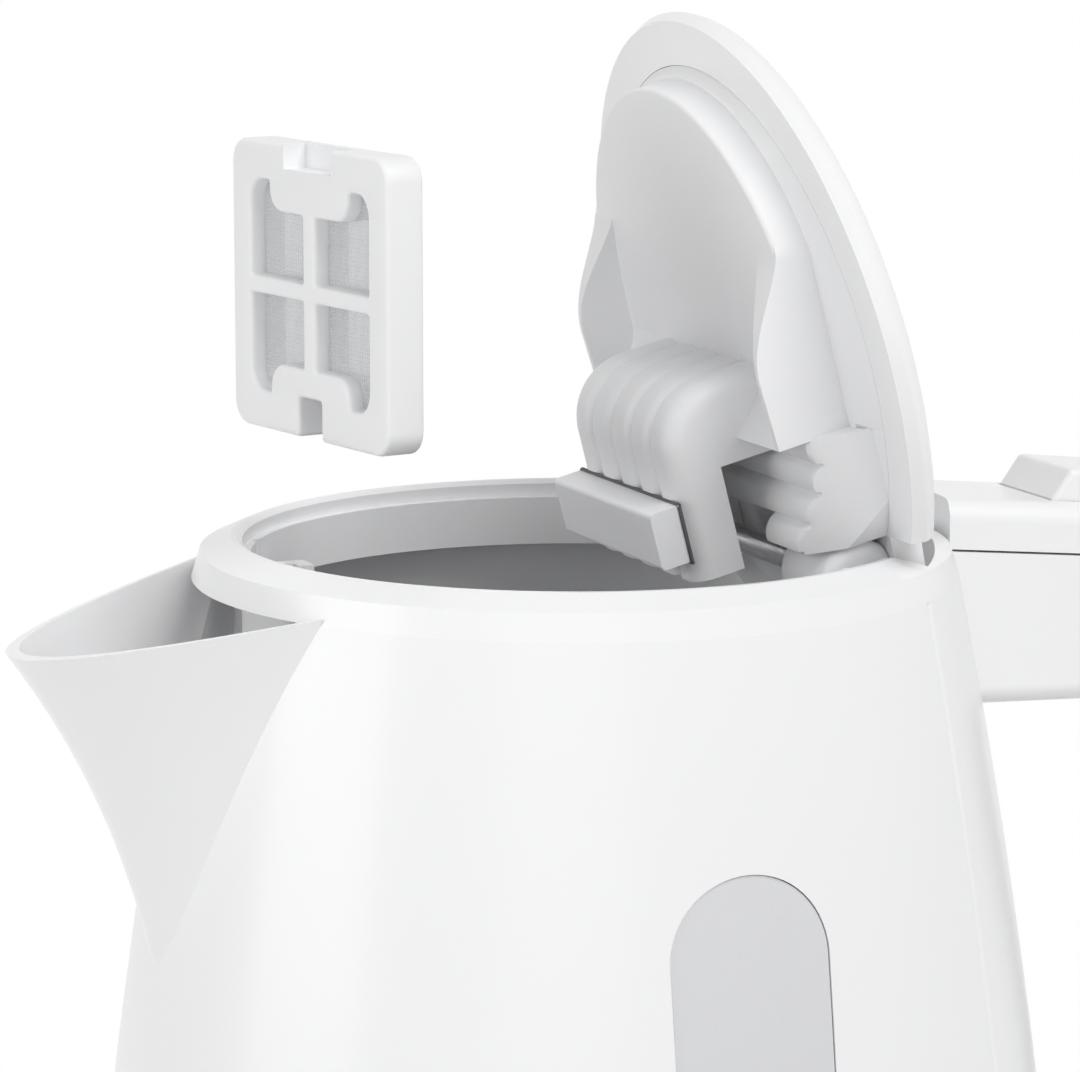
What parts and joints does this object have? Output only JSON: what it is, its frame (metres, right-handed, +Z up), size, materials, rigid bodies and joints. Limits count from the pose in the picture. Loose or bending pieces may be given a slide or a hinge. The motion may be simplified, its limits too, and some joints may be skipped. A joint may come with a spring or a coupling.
{
  "type": "electric jug kettle",
  "caption": "White plastic electric jug kettle on a round power base, with its hinged lid open and its pouring filter lifted out above the spout.",
  "frame": {"origin": "on the table, on the axis that the jug turns about on its power base", "axes": "+Z up, -X towards the spout, +X towards the handle, +Y to the jug's far side in the picture"},
  "size_m": [0.2228, 0.159, 0.2823],
  "materials": {
    "white_plastic": "glossy moulded plastic",
    "grey_plastic": "matte moulded plastic",
    "window_plastic": "frosted clear plastic",
    "filter_net": "fine woven nylon net",
    "foot_rubber": "soft matte rubber",
    "seal_rubber": "matte silicone rubber",
    "heater_steel": "brushed stainless steel",
    "element_aluminium": "satin",
    "contact_brass": "plain"
  },
  "bodies": {
    "power_base": {"base_cover": "white_plastic", "base_plate": "white_plastic", "base_feet": "foot_rubber", "base_connector": "white_plastic", "contact_ring": "contact_brass", "contact_sleeve": "contact_brass", "cord_bush": "grey_plastic"},
    "socket": {"jug_socket": "white_plastic"},
    "jug": {"body_shell": "white_plastic", "window_near": "window_plastic", "window_far": "window_plastic", "collar": "white_plastic", "heater_seal": "seal_rubber", "heater_plate": "heater_steel", "heating_element": "element_aluminium", "bottom_cover": "white_plastic", "handle_shell": "white_plastic", "handle_top": "white_plastic", "hinge_pin": "heater_steel"},
    "lid": {"lid_cover": "white_plastic", "lid_liner": "white_plastic", "lid_arm": "white_plastic", "lid_arm_bar": "white_plastic"},
    "filter": {"filter_frame": "white_plastic", "filter_mesh": "filter_net"},
    "button": {"lid_button": "white_plastic"},
    "switch": {"switch_lever": "white_plastic"}
  },
  "joints": [
    {"name": "jug_lift", "type": "slide", "parent": "power_base", "child": "socket", "axis": [0, 0, 1], "range_m": [0, 0.06]},
    {"name": "jug_swivel", "type": "hinge", "parent": "socket", "child": "jug", "pos_m": [0, 0, 0], "axis": [0, 0, 1], "continuous": true},
    {"name": "lid_hinge", "type": "hinge", "parent": "jug", "child": "lid", "pos_m": [0.031, 0, 0.2021], "axis": [0, -1, 0], "range_deg": [0, 75.5], "stiffness_Nm_per_rad": 0.03, "springref_deg": -28.65},
    {"name": "filter_lift", "type": "slide", "parent": "jug", "child": "filter", "axis": [0, 0, 1], "range_m": [-0.066, 0]},
    {"name": "button_press", "type": "slide", "parent": "jug", "child": "button", "axis": [0, 0, -1], "range_m": [0, 0.0025], "stiffness_N_per_m": 800, "springref_m": -0.0012},
    {"name": "switch_rock", "type": "hinge", "parent": "jug", "child": "switch", "pos_m": [0.101, 0, 0.0438], "axis": [0, 1, 0], "range_deg": [0, 14]}
  ],
  "couplings": [
    {"joint": "filter_lift", "follows": "lid_hinge", "m_per_rad": -0.050086}
  ]
}
